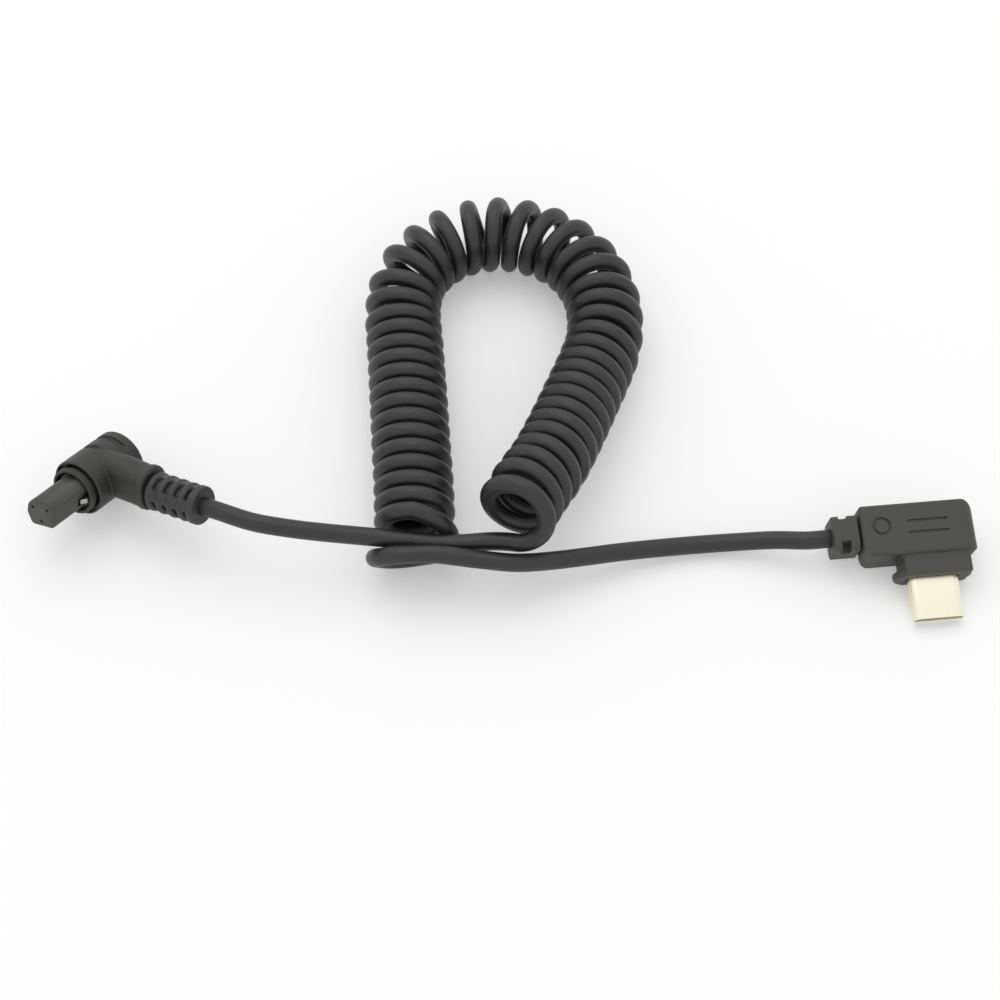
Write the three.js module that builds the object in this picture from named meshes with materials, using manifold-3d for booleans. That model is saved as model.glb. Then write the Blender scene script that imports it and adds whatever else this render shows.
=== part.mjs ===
// A coiled remote-release cord: a right-angle three-contact camera plug, a curly cord lying as an
// arch, and a right-angle flat phone plug. Millimetres, +Z up, lying on the plane z = 0.
import * as THREE from "three";
import { mergeVertices } from "three/addons/utils/BufferGeometryUtils.js";
import Module from "manifold-3d";

const wasm = await Module();
wasm.setup();

// ---------------------------------------------------------------- clearances
const seamGap = 0.3; // between two moulded pieces that meet
const slideGap = 0.25; // between a piece and the bore that holds it
const fineGap = 0.15; // between the small pieces of the camera plug
const microGap = 0.12; // between the small pieces inside the phone plug's shell
const through = 1; // how far a cutting solid runs past the face it opens

// ---------------------------------------------------------------- cord
const cordDiameter = 3.0;
const coilOutside = 13.3;
const curlPitch = 3.05; // along the inside of a bend, where the curls touch
const coilFormSlim = 0.2; // taken off the faceted cord's radius so that its curls stay apart
const leastCoilGap = 0.4;
const curlSteps = 8;
const coilSides = 5;
const leadSides = 8;
const remoteLeadSteps = 34;
const phoneLeadSteps = 36;
const endLean = 6; // degrees that the first curl leans ahead of square to the axis
const endLeanCurls = 3; // curls over which that lean dies out
const legLean = 6; // degrees that the curls lean ahead on the second leg
const samplesPerSpan = 60; // of the coil's axis
const cordRadius = cordDiameter / 2;
const coilRadius = coilOutside / 2 - cordRadius;
const coilFormRadius = cordRadius - coilFormSlim;

// The line below the coil, from the camera lead's end up one leg, round and down the other: its
// place, and how far the coil is lifted off the table there. The first leg's near end is raised.
const coilAxis = [
  [1.4, -4.9, 7.7], [2.4, -2.1, 7.2], [3.2, -0.3, 6.9], [4.5, 2.4, 6.3], [5.9, 5.1, 5.6],
  [7.4, 8.3, 4.8], [10.1, 15.3, 3.4], [12.7, 22.5, 2.3], [15.3, 29.8, 1.3], [17, 35.7, 0.7],
  [17.4, 42.3, 0.3], [16.1, 49.2, 0.1], [12.3, 55.4, 0], [6.3, 59.6, 0], [-0.6, 61.2, 0],
  [-7.4, 60, 0], [-13, 56.2, 0], [-16.6, 50.7, 0], [-17.7, 44.3, 0], [-17.1, 35.2, 0],
  [-16.3, 24.7, 0], [-15.6, 14.7, 0], [-15, 6.7, 0], [-14.6, -1.2, 0],
];
// The cord's line from the camera plug's relief to the coil's first curl.
const remoteLeadRoute = [
  [-40.3, -4.2, 12.2], [-34.6, -4.9, 11.4], [-28.9, -5, 10.3], [-23.1, -5, 9.3],
  [-16.8, -5.35, 8.8], [-10.5, -5.9, 8.5], [-6.3, -5.9, 8.55],
];
const firstTurnRoute = [[-2.4, -5.9, 9.1]];
const lastTurnRoute = [
  [-10.4, -2.9, 10], [-8.8, -3.4, 6.5], [-10.2, -3.9, 3], [-14, -4, 1.5], [-18.4, -4.8, 1.9],
  [-20.9, -6.3, 4.7], [-19.9, -8.2, 8], [-17, -8.9, 9.7], [-14.4, -8.9, 10], [-11.4, -8.9, 10.05],
];
const phoneLeadRoute = [
  [-4, -9.4, 9.2], [1.8, -9.7, 8.7], [7.5, -8.1, 6.8], [13.4, -6.2, 5.1], [18.7, -4.5, 3.7],
  [25.3, -3, 2.6], [32, -2, 2.1], [38.5, -1.8, 2.6], [44, -2.3, 3.9],
];

// ---------------------------------------------------------------- camera plug
const remotePlace = [-66.9, 9.4, 6.4]; // where the barrel's axis meets the cable's axis
const remoteTurn = -32.7; // degrees about the upright
const remoteRaise = -18.4; // the nose is raised by this much
const remoteRoll = -13.7; // the cable side is raised by this much
const barrelDiameter = 9.7;
const barrelFront = 5.5; // from the cable's axis to the front face
const barrelRear = 5.8; // from the cable's axis to the rear face
const barrelWall = 0.8;
const barrelEdge = 0.6; // rounding of the rear rim
const barrelSides = 32;
const gripPlaces = [0.7, 3.9]; // grooves, from the cable's axis
const gripWidth = 0.8;
const gripDepth = 0.35;
const gripSpan = 216; // degrees of the barrel that a groove wraps
const neckWidth = 6.0;
const neckHeight = 7.2;
const neckRise = 0.35; // of the neck's middle above the cable's axis
const neckCorner = 2.2;
const neckEnd = 11.5; // from the barrel's axis to the end of the neck
const neckBore = 4.4;
const lipDiameter = 8.3;
const lipLength = 1.4; // beyond the barrel's front face, seam included
const lipBore = 7.3;
const spigotWall = 0.5;
const spigotLength = 2.6; // inside the barrel
const noseLength = 7.6; // in front of the lip
const noseBaseLength = 2.9; // inside the collar
const noseOutline = [
  [-0.9, 2.9], [1.9, 2.8], [2.95, 1.5], [2.3, -2], [-2.3, -2.3], [-3, 0], [-2.4, 1.7],
];
const noseCorner = 0.6;
const contactShares = [[-0.475, 0.393], [0.525, 0.426], [-0.033, -0.41]]; // of the base's radius
const contactDiameter = 0.9;
const contactBore = 0.5;
const contactBoreDepth = 3.5;
const contactSetBack = 0.5; // from the nose's face to the contact's mouth
const contactTail = 0.6; // behind the retainer
const contactSides = 12;
const retainerLength = 1.0;
const latchThickness = 0.3;
const latchWidth = 1.1;
const latchRise = -0.4; // the leaf's middle, from the nose's axis
const latchInset = 0.2; // of the leaf's outer face, inside the nose's base
const latchTipReach = 1.45; // in front of the lip
const barbHeight = 0.45;
const barbLength = 0.8;
const latchTravel = 0.4; // how far the barb is pressed in
const reliefDiameter = 6.5;
const reliefCore = 4.6;
const reliefRings = 5;
const reliefPitch = 2.15;
const reliefRing = 1.35;
const reliefEndRing = 1.25;
const reliefSpine = 2.2;
const reliefSpineDiameter = 5.9;
const reliefSpineTurns = [-20, 70]; // degrees from the front
const reliefSpigotLength = 2.6;
const remoteWireDiameter = 0.8;
const ferruleLength = 2.4;
const ferruleWall = 0.4;
const roundSides = 20;

// ---------------------------------------------------------------- phone plug
const phonePlace = [69.6, -15.71, 1.2]; // the middle of the shell's mouth
const phoneTurn = 5.5; // degrees about the upright
const phoneTilt = 16; // mouth down, so that the mouth and the flange's lower edge both rest
const shellWidth = 8.25;
const shellHeight = 2.4;
const shellWall = 0.2;
const shellExposed = 6.9;
const shellSeated = 3.6;
const shellSegments = 8;
const flangeWidth = 12.8;
const flangeHeight = 6.3;
const flangeLength = 1.8;
const waistWidth = 9.8; // as thick as the flange, and flush with its front
const waistCorner = 0.8;
const bodyLeft = 11.1; // from the shell's axis to the cable side
const bodyRight = 7.6;
const bodyFront = 10.3; // from the mouth to the front face
const bodyBack = 18.9;
const bodyThickness = 7.5;
const bodyCorner = 1.0;
const bodyNearCorner = 1.8; // front corner on the cable's side
const bodyFarCorner = 2.6;
const bodyEdge = 0.7;
const bodyFarEdge = 2.4; // rounding of the long edges opposite the cable
const bodyWall = 1.3;
const blockEnd = 15.9; // from the shell's axis to the end of the cable's relief
const blockWidth = 5.6;
const blockHeight = 6.2;
const blockCorner = 1.6;
const blockSlotWidth = 1.55; // of the slots that cut the block's two upper edges
const blockCore = 2.8; // what the slots leave standing between them
const blockSlotFloor = 0.7; // above the cable's axis
const cableLine = 14.9; // from the mouth to the cable's axis
const blockSpigot = 3.6;
const carrierSetBack = 0.4;
const slotHeight = 0.9;
const slotDepth = 6.2;
const carrierBehind = 1.2; // behind the shell
const padThickness = 0.14;
const padLevel = 0.42; // from the middle to a leaf's inner face
const padWidth = 0.25;
const padPitch = 1.0;
const padsPerRow = 4;
const padSetBack = 1.1; // from the carrier's mouth
const padTail = 1.4; // behind the carrier
const sideLatchThickness = 0.25;
const sideLatchHeight = 0.5;
const sideLatchFace = 3.45; // from the shell's axis to the outer face
const sideLatchLength = 8.2;
const sideLatchSetBack = 1.0;
const hookHeight = 0.3;
const hookLength = 0.6;
const boardWidth = 8.0;
const boardLength = 5.0;
const boardThickness = 0.6;
const resistorSize = [1.0, 0.5, 0.35];
const resistorPlace = [1.8, 3.2]; // on the board: across, and from its front edge
const phoneFerruleDiameter = 3.4;
const phoneFerruleLength = 2.0;
const phoneWireDiameter = 0.7;
const phoneWireSpread = 0.95;
const phoneWireOnBoard = 1.1;

// ---------------------------------------------------------------- finishes
const finish = (color, roughness, metalness) => ({ color, roughness, metalness });
const finishes = {
  cordVinyl: finish(0x2b2b29, 0.55, 0),
  remoteVinyl: finish(0x30312c, 0.5, 0),
  nosePlastic: finish(0x3a3a34, 0.45, 0),
  phoneVinyl: finish(0x46423f, 0.5, 0),
  innerPlastic: finish(0x1c1c1c, 0.5, 0),
  nickel: finish(0xd8d4c8, 0.25, 1),
  spring: finish(0xb9b9b4, 0.3, 1),
  gold: finish(0xd2a94a, 0.3, 1),
  board: finish(0x1f5c3a, 0.5, 0),
  resistor: finish(0x18181a, 0.4, 0),
  wireRed: finish(0xa8281f, 0.5, 0),
  wireWhite: finish(0xd9d6cc, 0.5, 0),
  wireYellow: finish(0xc9a82c, 0.5, 0),
};
const wireLooks = [finishes.wireRed, finishes.wireWhite, finishes.wireYellow];

// ---------------------------------------------------------------- helpers
const part = new THREE.Group();
const vector = (p) => new THREE.Vector3(...p);
const smooth = (points) => new THREE.CatmullRomCurve3(points.map(vector), false, "centripetal");
const radians = THREE.MathUtils.degToRad;

// A closed mesh as a solid that can be joined or cut.
function solid(geometry) {
  const bare = geometry.clone();
  bare.deleteAttribute("normal");
  bare.deleteAttribute("uv");
  const merged = mergeVertices(bare, 1e-4);
  return new wasm.Manifold(
    new wasm.Mesh({
      numProp: 3,
      vertProperties: new Float32Array(merged.attributes.position.array),
      triVerts: new Uint32Array(merged.index.array),
    }),
  );
}

function geometryOf(made) {
  const mesh = made.getMesh();
  const geometry = new THREE.BufferGeometry();
  geometry.setAttribute("position", new THREE.BufferAttribute(mesh.vertProperties, 3));
  geometry.setIndex(new THREE.BufferAttribute(mesh.triVerts, 1));
  const flat = geometry.toNonIndexed();
  flat.computeVertexNormals();
  return flat;
}

function addPiece(group, name, shape, look) {
  const geometry = shape.isBufferGeometry ? shape : geometryOf(shape);
  const mesh = new THREE.Mesh(geometry, new THREE.MeshStandardMaterial(look));
  mesh.name = name;
  group.add(mesh);
}

// A box between two opposite corners, given in any order.
function box(from, to) {
  const size = from.map((v, i) => Math.abs(to[i] - v));
  const middle = from.map((v, i) => (to[i] + v) / 2);
  return new THREE.BoxGeometry(...size).translate(...middle);
}

const cut = (made, cutters) => cutters.reduce((a, b) => a.subtract(solid(b)), made);
const join = (made, others) => others.reduce((a, b) => a.add(solid(b)), made);

// A polygon whose corners are rounded, by one radius or by one for each.
function roundedShape(corners, radii) {
  const shape = new THREE.Shape();
  const count = corners.length;
  corners.forEach(([x, y], i) => {
    const radius = Array.isArray(radii) ? radii[i] : radii;
    const towards = ([a, b]) => {
      const reach = Math.hypot(a - x, b - y);
      const step = Math.min(radius, reach / 2.2);
      return [x + ((a - x) * step) / reach, y + ((b - y) * step) / reach];
    };
    const start = towards(corners[(i + count - 1) % count]);
    const end = towards(corners[(i + 1) % count]);
    if (i === 0) shape.moveTo(...start);
    else shape.lineTo(...start);
    shape.quadraticCurveTo(x, y, ...end);
  });
  shape.closePath();
  return shape;
}

function rectangle(width, height, radius) {
  const [a, b] = [width / 2, height / 2];
  return roundedShape([[-a, -b], [a, -b], [a, b], [-a, b]], radius);
}

// A slot's outline: two half rounds joined by straight sides.
function stadium(width, height) {
  const [radius, reach] = [height / 2, (width - height) / 2];
  const shape = new THREE.Shape();
  shape.moveTo(-reach, -radius);
  shape.lineTo(reach, -radius);
  shape.absarc(reach, 0, radius, -Math.PI / 2, Math.PI / 2);
  shape.lineTo(-reach, radius);
  shape.absarc(-reach, 0, radius, Math.PI / 2, Math.PI * 1.5);
  return shape;
}

function prism(shape, length, curveSegments = 3) {
  return new THREE.ExtrudeGeometry(shape, { depth: length, bevelEnabled: false, curveSegments });
}

// A prism along X; its shape's x lies along Y and its y stays upright.
function prismX(shape, from, to, curveSegments) {
  return prism(shape, to - from, curveSegments).rotateX(Math.PI / 2).rotateZ(Math.PI / 2)
    .translate(from, 0, 0);
}

// A prism along Y, with the shape's own y upright.
function prismY(shape, from, to, curveSegments) {
  return prism(shape, to - from, curveSegments).rotateX(Math.PI / 2).translate(0, to, 0);
}

// A turned solid about Y; its profile is [radius, place along Y], starting and ending on the axis
// or closed on itself.
function turned(profile, sides) {
  return new THREE.LatheGeometry(profile.map(([r, y]) => new THREE.Vector2(r, y)), sides);
}

function rod(radius, from, to, sides) {
  return turned([[0, from], [radius, from], [radius, to], [0, to]], sides);
}

function ring(inner, outer, from, to, sides) {
  return turned([[inner, from], [outer, from], [outer, to], [inner, to], [inner, from]], sides);
}

const alongX = (geometry) => geometry.rotateZ(-Math.PI / 2);

// A round tube along a curve, square to it at both ends.
function tubeAlong(curve, radius, sides, steps) {
  const section = new THREE.Shape();
  for (let i = 0; i < sides; i += 1) {
    const turn = (2 * Math.PI * i) / sides;
    const corner = [radius * Math.cos(turn), radius * Math.sin(turn)];
    if (i === 0) section.moveTo(...corner);
    else section.lineTo(...corner);
  }
  section.closePath();
  return new THREE.ExtrudeGeometry(section, { steps, extrudePath: curve, bevelEnabled: false });
}

// ---------------------------------------------------------------- camera plug
const remote = new THREE.Group();
remote.position.set(...remotePlace);
remote.rotation.set(radians(remoteRaise), radians(remoteRoll), radians(remoteTurn), "ZXY");
part.add(remote);

const barrelRadius = barrelDiameter / 2;
const hollowRadius = barrelRadius - barrelWall;
const spigotRadius = hollowRadius - slideGap;
const spigotBore = spigotRadius - spigotWall;
const lipFront = -(barrelFront + lipLength);
const noseBaseRadius = spigotBore - slideGap;
const contactPlaces = contactShares.map((p) => p.map((share) => share * noseBaseRadius));
const latchFace = noseBaseRadius - latchInset; // from the nose's axis
const noseFace = lipFront - noseLength;
const noseBaseFront = -barrelFront - seamGap - 2 * fineGap;
const noseBase = noseBaseFront + noseBaseLength;
const retainerFront = noseBase + seamGap;
const retainerBack = retainerFront + retainerLength;
const contactEnd = retainerBack + contactTail;
const contactHole = contactDiameter / 2 + microGap;

// A groove round the barrel, away from the cable.
function gripGroove(middle) {
  const edge = Math.cos(radians(gripSpan / 2)) * barrelRadius;
  const reach = barrelRadius * 2;
  const whole = ring(barrelRadius - gripDepth, reach, middle - gripWidth / 2,
    middle + gripWidth / 2, barrelSides);
  return solid(whole).intersect(solid(box([-reach * 2, -reach, -reach * 2],
    [-edge, reach, reach * 2])));
}

function remoteHousing() {
  const barrel = turned([
    [0, -barrelFront], [barrelRadius, -barrelFront], [barrelRadius, barrelRear - barrelEdge],
    [barrelRadius - barrelEdge * 0.3, barrelRear - barrelEdge * 0.3],
    [barrelRadius - barrelEdge, barrelRear], [0, barrelRear],
  ], barrelSides);
  const neck = prismX(rectangle(neckWidth, neckHeight, neckCorner), 0, neckEnd, 5)
    .translate(0, 0, neckRise);
  const hollow = rod(hollowRadius, -barrelFront - through, barrelRear - barrelWall, barrelSides);
  const bore = alongX(rod(neckBore / 2, 0, neckEnd + through, roundSides));
  const made = cut(join(solid(barrel), [neck]), [hollow, bore]);
  return gripPlaces.reduce((a, place) => a.subtract(gripGroove(place)), made);
}

function frontCollar() {
  const seam = -barrelFront - seamGap;
  return turned([
    [lipBore / 2, lipFront], [lipDiameter / 2, lipFront], [lipDiameter / 2, seam],
    [spigotRadius, seam], [spigotRadius, spigotLength - barrelFront],
    [spigotBore, spigotLength - barrelFront], [spigotBore, seam], [lipBore / 2, seam],
    [lipBore / 2, lipFront],
  ], barrelSides);
}

// The pockets that the two latches spring into.
function latchPockets(from, to, floor) {
  const half = latchWidth / 2 + fineGap;
  return [-1, 1].map((side) => box([side * floor, from, latchRise - half],
    [side * barrelRadius, to, latchRise + half]));
}

function contactHoles(from, to) {
  return contactPlaces.map(([x, z]) => rod(contactHole, from, to, contactSides)
    .translate(x, 0, z));
}

function noseInsulator() {
  const keyed = prismY(roundedShape(noseOutline, noseCorner), noseFace, noseBaseFront + fineGap);
  const base = rod(noseBaseRadius, noseBaseFront, noseBase, barrelSides);
  const floor = latchFace - latchThickness - latchTravel - fineGap;
  const pocketFront = lipFront - latchTipReach - fineGap;
  return cut(join(solid(keyed), [base]), [
    ...contactHoles(noseFace - through, noseBase + through),
    ...latchPockets(pocketFront, noseBase + through, floor),
  ]);
}

function contactRetainer() {
  const [from, to] = [retainerFront - through, retainerBack + through];
  return cut(solid(rod(noseBaseRadius, retainerFront, retainerBack, barrelSides)), [
    ...contactHoles(from, to),
    ...latchPockets(from, to, latchFace - latchThickness - fineGap),
  ]);
}

// A turned contact, bored at the mouth, standing in the nose.
function remoteContact([x, z]) {
  const mouth = noseFace + contactSetBack;
  const [outer, inner] = [contactDiameter / 2, contactBore / 2];
  return turned([
    [0, mouth + contactBoreDepth], [inner, mouth + contactBoreDepth], [inner, mouth],
    [outer, mouth], [outer, contactEnd], [0, contactEnd],
  ], contactSides).translate(x, 0, z);
}

// A leaf with a barb near its tip; side is 1 on the cable's side and -1 opposite it.
function remoteLatch(side) {
  const [inner, outer] = [latchFace - latchThickness, latchFace];
  const tip = lipFront - latchTipReach;
  const corners = [
    [inner, tip], [inner, retainerBack], [outer, retainerBack], [outer, tip + 2.5 * barbLength],
    [outer + barbHeight, tip + 1.5 * barbLength], [outer + barbHeight, tip + barbLength],
    [outer, tip],
  ];
  const leaf = new THREE.Shape(corners.map(([x, y]) => new THREE.Vector2(side * x, y)));
  return prism(leaf, latchWidth).translate(0, 0, latchRise - latchWidth / 2);
}

const reliefStart = neckEnd + seamGap;
const reliefEnd = reliefStart + (reliefRings - 1) * reliefPitch + reliefEndRing;
const ferruleEnd = neckEnd - reliefSpigotLength - seamGap;

// A ribbed relief whose rings are joined by four spines.
function strainRelief() {
  const core = alongX(rod(reliefCore / 2, reliefStart, reliefEnd, roundSides));
  const rings = [];
  for (let i = 0; i < reliefRings; i += 1) {
    const from = reliefStart + i * reliefPitch;
    const width = i === reliefRings - 1 ? reliefEndRing : reliefRing;
    rings.push(alongX(rod(reliefDiameter / 2, from, from + width, roundSides)));
  }
  const reach = reliefSpineDiameter / 2;
  const spines = reliefSpineTurns.map((turn) => box([reliefStart, -reach, -reliefSpine / 2],
    [reliefEnd - reliefEndRing / 2, reach, reliefSpine / 2]).rotateX(radians(turn)));
  const spigot = alongX(rod(neckBore / 2 - slideGap, neckEnd - reliefSpigotLength,
    reliefStart + reliefRing / 2, roundSides));
  return join(solid(core), [...rings, ...spines, spigot]);
}

function remoteFerrule() {
  const outer = neckBore / 2 - slideGap;
  return alongX(ring(outer - ferruleWall, outer, ferruleEnd - ferruleLength, ferruleEnd,
    roundSides));
}

// Each wire's way from its contact's tail to the neck; the ends lie as three in a round bundle.
const remoteWireBends = [
  [[-1.45, 0.5, 1.2], [-0.8, 1.9, 1.15], [1.2, 2.3, 0.9], [3.2, 1.3, 0.5]],
  [[1.7, -0.2, 1.25], [2.5, 0.3, 1.05], [3.6, -0.2, 0.6]],
  [[0, 0.3, -1.2], [1.2, 0.8, -1.1], [3, 0.3, -0.8]],
];

function remoteWire([x, z], index) {
  const bundle = (remoteWireDiameter / 2 + microGap) / Math.cos(radians(30));
  const turn = radians(30 + 120 * index);
  const [y, height] = [bundle * Math.cos(turn), bundle * Math.sin(turn)];
  const line = smooth([
    [x, contactEnd + microGap, z], ...remoteWireBends[index],
    [ferruleEnd - ferruleLength, y, height], [ferruleEnd - fineGap, y, height],
  ]);
  return tubeAlong(line, remoteWireDiameter / 2, 6, 12);
}

addPiece(remote, "remote_housing", remoteHousing(), finishes.remoteVinyl);
addPiece(remote, "remote_front_collar", frontCollar(), finishes.remoteVinyl);
addPiece(remote, "remote_nose", noseInsulator(), finishes.nosePlastic);
addPiece(remote, "remote_contact_retainer", contactRetainer(), finishes.innerPlastic);
addPiece(remote, "remote_latch_cable_side", remoteLatch(1), finishes.spring);
addPiece(remote, "remote_latch_far_side", remoteLatch(-1), finishes.spring);
addPiece(remote, "remote_strain_relief", strainRelief(), finishes.remoteVinyl);
addPiece(remote, "remote_ferrule", remoteFerrule(), finishes.spring);
contactPlaces.forEach((place, i) => {
  addPiece(remote, `remote_contact_${i + 1}`, remoteContact(place), finishes.gold);
  addPiece(remote, `remote_wire_${i + 1}`, remoteWire(place, i), wireLooks[i]);
});

// ---------------------------------------------------------------- phone plug
const phone = new THREE.Group();
phone.position.set(...phonePlace);
phone.rotation.set(radians(phoneTilt), 0, radians(phoneTurn), "ZXY");
part.add(phone);

const flangeBack = shellExposed + flangeLength;
const shellEnd = shellExposed + shellSeated;
const carrierEnd = shellEnd + carrierBehind;
const carrierWidth = shellWidth - 2 * (shellWall + microGap);
const carrierHeight = shellHeight - 2 * (shellWall + microGap);
const slotEnd = carrierSetBack + slotDepth;
const boardFront = carrierEnd + seamGap;

// A rounded plate whose long edges opposite the cable are rounded further.
function bodyPlate() {
  const [left, right] = [bodyEdge - bodyLeft, bodyRight - bodyEdge];
  const [front, back] = [bodyFront + bodyEdge, bodyBack - bodyEdge];
  const outline = roundedShape([[left, front], [right, front], [right, back], [left, back]],
    [bodyNearCorner, bodyCorner, bodyFarCorner, bodyCorner]);
  const plate = new THREE.ExtrudeGeometry(outline, {
    depth: bodyThickness - 2 * bodyEdge, bevelThickness: bodyEdge, bevelSize: bodyEdge,
    bevelSegments: 2, curveSegments: 4,
  }).translate(0, 0, bodyEdge - bodyThickness / 2);
  const [high, far] = [bodyThickness / 2, bodyLeft + through];
  const section = roundedShape([[-far, -high], [bodyRight, -high], [bodyRight, high], [-far, high]],
    [0, bodyFarEdge, bodyFarEdge, 0]);
  return solid(plate).intersect(solid(prismY(section, 0, bodyBack + through, 4)));
}

function phoneBody() {
  const chamberFront = bodyFront + bodyWall;
  const waist = prismY(rectangle(waistWidth, flangeHeight, waistCorner), shellExposed,
    chamberFront - bodyWall / 2, 4);
  const flange = prismY(stadium(flangeWidth, flangeHeight), shellExposed, flangeBack, 6);
  const socket = prismY(stadium(shellWidth + 2 * slideGap, shellHeight + 2 * slideGap),
    shellExposed - through, chamberFront + through, shellSegments);
  const inside = bodyThickness / 2 - bodyWall;
  const chamber = box([bodyWall - bodyLeft, chamberFront, -inside],
    [bodyRight - bodyWall, bodyBack - bodyWall, inside]);
  const cable = alongX(rod(blockSpigot / 2 + slideGap, -bodyLeft - through,
    bodyWall - bodyLeft + through, roundSides)).translate(0, cableLine, 0);
  return cut(join(bodyPlate(), [waist, flange]), [socket, chamber, cable]);
}

const blockStart = -bodyLeft - seamGap;
const blockSpigotEnd = bodyWall - bodyLeft + microGap;

function phoneRelief() {
  const outer = prismX(rectangle(blockWidth, blockHeight, blockCorner), -blockEnd, blockStart, 4);
  const spigot = alongX(rod(blockSpigot / 2, blockStart - through, blockSpigotEnd, roundSides));
  const middle = (blockStart - blockEnd) / 2;
  const half = blockSlotWidth / 2;
  const slots = [-1, 1].map((side) => box([middle - half, (side * blockCore) / 2, blockSlotFloor],
    [middle + half, side * blockWidth, blockHeight]));
  return cut(join(solid(outer), [spigot]), slots).translate([0, cableLine, 0]);
}

function shellTube() {
  const outer = prismY(stadium(shellWidth, shellHeight), 0, shellEnd, shellSegments);
  const inner = prismY(stadium(shellWidth - 2 * shellWall, shellHeight - 2 * shellWall),
    -through, shellEnd + through, shellSegments);
  return cut(solid(outer), [inner]);
}

// Where each contact leaf stands: its place across, and 1 over the slot or -1 under it.
const padPlaces = [1, -1].flatMap((level) => Array.from({ length: padsPerRow },
  (_, i) => [(i - (padsPerRow - 1) / 2) * padPitch, level]));

function padBlock([x, level], from, to, slack) {
  return box([x - padWidth / 2 - slack, from, level * (padLevel - slack)],
    [x + padWidth / 2 + slack, to, level * (padLevel + padThickness + slack)]);
}

function contactCarrier() {
  const body = prismY(stadium(carrierWidth, carrierHeight), carrierSetBack, carrierEnd, 6);
  const tongueSlot = box([-shellWidth, carrierSetBack - through, -slotHeight / 2],
    [shellWidth, slotEnd, slotHeight / 2]);
  const half = sideLatchHeight / 2 + microGap;
  const sides = [-1, 1].map((side) => box(
    [side * (sideLatchFace - sideLatchThickness - microGap), carrierSetBack - through, -half],
    [side * shellWidth, sideLatchSetBack + sideLatchLength + microGap, half]));
  const leaves = padPlaces.map((place) => padBlock(place, carrierSetBack + padSetBack - microGap,
    carrierEnd + through, microGap));
  return cut(solid(body), [tongueSlot, ...sides, ...leaves]);
}

function contactLeaf(place) {
  return padBlock(place, carrierSetBack + padSetBack, carrierEnd + padTail, 0);
}

// A side latch with a hook near its mouth end, pointing inwards.
function sideLatch(side) {
  const [inner, outer] = [sideLatchFace - sideLatchThickness, sideLatchFace];
  const [mouth, end] = [sideLatchSetBack, sideLatchSetBack + sideLatchLength];
  const corners = [
    [outer, mouth], [outer, end], [inner, end], [inner, mouth + 2 * hookLength],
    [inner - hookHeight, mouth + hookLength], [inner, mouth],
  ];
  const leaf = new THREE.Shape(corners.map(([x, y]) => new THREE.Vector2(side * x, y)));
  return prism(leaf, sideLatchHeight).translate(0, 0, -sideLatchHeight / 2);
}

function circuitBoard() {
  const half = boardThickness / 2;
  return box([-boardWidth / 2, boardFront, -half], [boardWidth / 2, boardFront + boardLength,
    half]);
}

function resistor() {
  const [long, wide, tall] = resistorSize;
  const [x, y] = [resistorPlace[0], boardFront + resistorPlace[1]];
  const low = boardThickness / 2 + microGap;
  return box([x - long / 2, y - wide / 2, low], [x + long / 2, y + wide / 2, low + tall]);
}

const phoneFerruleStart = blockSpigotEnd + slideGap;

function phoneFerrule() {
  const outer = phoneFerruleDiameter / 2;
  return alongX(ring(outer - ferruleWall, outer, phoneFerruleStart,
    phoneFerruleStart + phoneFerruleLength, roundSides)).translate(0, cableLine, 0);
}

// A wire from the ferrule on to the top of the board; index runs over the three.
function phoneWire(index) {
  const side = index - 1;
  const radius = phoneWireDiameter / 2;
  const bundle = (radius + microGap) / Math.cos(radians(30));
  const turn = radians(150 + 120 * index);
  const [y, z] = [cableLine + bundle * Math.cos(turn), bundle * Math.sin(turn)];
  const boardEdge = -boardWidth / 2;
  const high = boardThickness / 2 + radius + microGap;
  const spread = cableLine + side * phoneWireSpread;
  const wireStart = phoneFerruleStart + microGap;
  const line = smooth([
    [wireStart, y, z], [phoneFerruleStart + phoneFerruleLength, y, z],
    [boardEdge - 1, (y + spread) / 2, (z + high) / 2 + radius], [boardEdge, spread, high],
    [boardEdge + phoneWireOnBoard, spread, high],
  ]);
  return tubeAlong(line, radius, 6, 8);
}

addPiece(phone, "phone_body", phoneBody(), finishes.phoneVinyl);
addPiece(phone, "phone_strain_relief", phoneRelief(), finishes.phoneVinyl);
addPiece(phone, "phone_shell", shellTube(), finishes.nickel);
addPiece(phone, "phone_contact_carrier", contactCarrier(), finishes.innerPlastic);
padPlaces.forEach((place, i) => {
  addPiece(phone, `phone_contact_${i + 1}`, contactLeaf(place), finishes.gold);
});
addPiece(phone, "phone_latch_far_side", sideLatch(1), finishes.spring);
addPiece(phone, "phone_latch_cable_side", sideLatch(-1), finishes.spring);
addPiece(phone, "phone_circuit_board", circuitBoard(), finishes.board);
addPiece(phone, "phone_resistor", resistor(), finishes.resistor);
addPiece(phone, "phone_ferrule", phoneFerrule(), finishes.spring);
[0, 1, 2].forEach((i) => addPiece(phone, `phone_wire_${i + 1}`, phoneWire(i), wireLooks[i]));

// ---------------------------------------------------------------- cord
part.updateMatrixWorld(true);

// How far ahead the curls lean at a point of the axis: square to it where it falls, and more in
// the first curls and on the second leg.
function leanAt(axis, i, wound) {
  const [before, after] = [axis[Math.max(i - 1, 0)], axis[Math.min(i + 1, axis.length - 1)]];
  const fall = Math.atan2(before.z - after.z, Math.hypot(after.x - before.x, after.y - before.y));
  const onSecondLeg = THREE.MathUtils.clamp((3 * i) / axis.length - 1.5, 0, 1);
  const fresh = Math.max(0, 1 - wound / endLeanCurls);
  return { lean: fall + radians(legLean) * onSecondLeg + radians(endLean) * fresh, fresh };
}

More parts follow.
